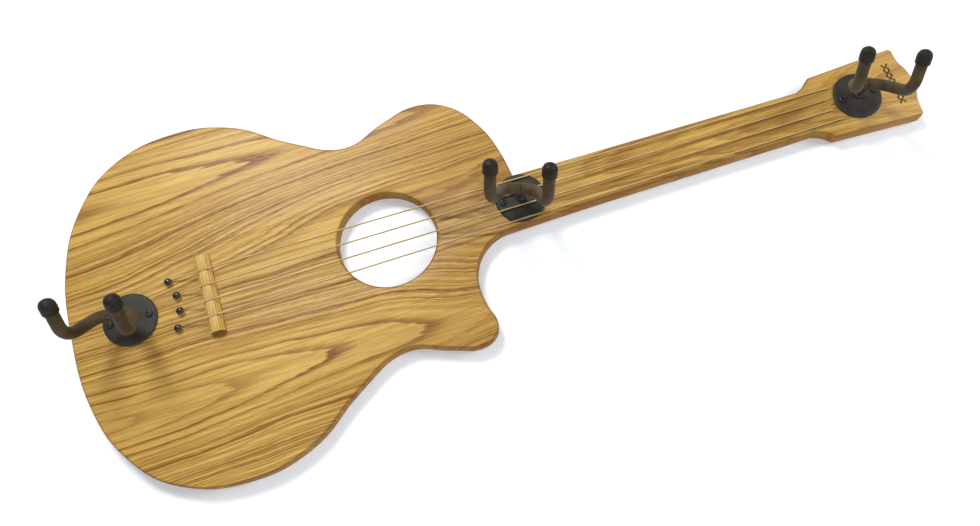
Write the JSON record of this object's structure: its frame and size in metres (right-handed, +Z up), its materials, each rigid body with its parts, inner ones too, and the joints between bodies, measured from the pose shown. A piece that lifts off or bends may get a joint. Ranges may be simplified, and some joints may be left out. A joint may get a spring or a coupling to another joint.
{
  "type": "guitar-shaped wall rack",
  "caption": "Guitar-shaped oak wall rack with swivelling padded yokes that hold stringed instruments by the headstock.",
  "frame": {"origin": "back face of the board, on the guitar's centre line, behind the middle hanger's swivel", "axes": "+X right, +Z up, +Y into the wall; the front faces -Y, and the neck rises to the right at 19.1 degrees"},
  "size_m": [0.9587, 0.132, 0.5115],
  "materials": {
    "oak": "clear satin lacquer",
    "bridge_oak": "clear satin lacquer",
    "flange_coat": "matte charcoal coating",
    "yoke_steel": "dark satin coating",
    "sleeve_rubber": "matte soft tubing",
    "cap_rubber": "matte",
    "screw_black": "black phosphate",
    "nail_black": "gloss black",
    "string_brass": "bright wire",
    "zinc_steel": "bright zinc"
  },
  "bodies": {
    "rack": {"oak_board": "oak", "bridge_strip": "bridge_oak", "string_nail_1": "nail_black", "string_nail_2": "nail_black", "string_nail_3": "nail_black", "string_nail_4": "nail_black", "string_1": "string_brass", "string_2": "string_brass", "string_3": "string_brass", "string_4": "string_brass", "tail_flange": "flange_coat", "tail_flange_screw_tail_side": "screw_black", "tail_flange_screw_head_side": "screw_black", "middle_flange": "flange_coat", "middle_flange_screw_tail_side": "screw_black", "middle_flange_screw_head_side": "screw_black", "head_flange": "flange_coat", "head_flange_screw_tail_side": "screw_black", "head_flange_screw_head_side": "screw_black", "keyhole_plate_body": "zinc_steel", "keyhole_screw_body_upper": "zinc_steel", "keyhole_screw_body_lower": "zinc_steel", "keyhole_plate_neck": "zinc_steel", "keyhole_screw_neck_upper": "zinc_steel", "keyhole_screw_neck_lower": "zinc_steel"},
    "tail_hanger": {"tail_yoke": "yoke_steel", "tail_swivel_washer": "zinc_steel", "tail_lock_nut": "zinc_steel", "tail_sleeve_left": "sleeve_rubber", "tail_cap_left": "cap_rubber", "tail_sleeve_right": "sleeve_rubber", "tail_cap_right": "cap_rubber"},
    "middle_hanger": {"middle_yoke": "yoke_steel", "middle_swivel_washer": "zinc_steel", "middle_lock_nut": "zinc_steel", "middle_sleeve_left": "sleeve_rubber", "middle_cap_left": "cap_rubber", "middle_sleeve_right": "sleeve_rubber", "middle_cap_right": "cap_rubber"},
    "head_hanger": {"head_yoke": "yoke_steel", "head_swivel_washer": "zinc_steel", "head_lock_nut": "zinc_steel", "head_sleeve_left": "sleeve_rubber", "head_cap_left": "cap_rubber", "head_sleeve_right": "sleeve_rubber", "head_cap_right": "cap_rubber"}
  },
  "joints": [
    {"name": "tail_swivel", "type": "hinge", "parent": "rack", "child": "tail_hanger", "pos_m": [-0.41048, -0.019, -0.14278], "axis": [0, -1, 0], "range_deg": [-30, 30]},
    {"name": "middle_swivel", "type": "hinge", "parent": "rack", "child": "middle_hanger", "pos_m": [-0.00105, -0.019, 0.00027], "axis": [0, -1, 0], "range_deg": [-30, 30]},
    {"name": "head_swivel", "type": "hinge", "parent": "rack", "child": "head_hanger", "pos_m": [0.39028, -0.019, 0.13356], "axis": [0, -1, 0], "range_deg": [-30, 30]}
  ]
}
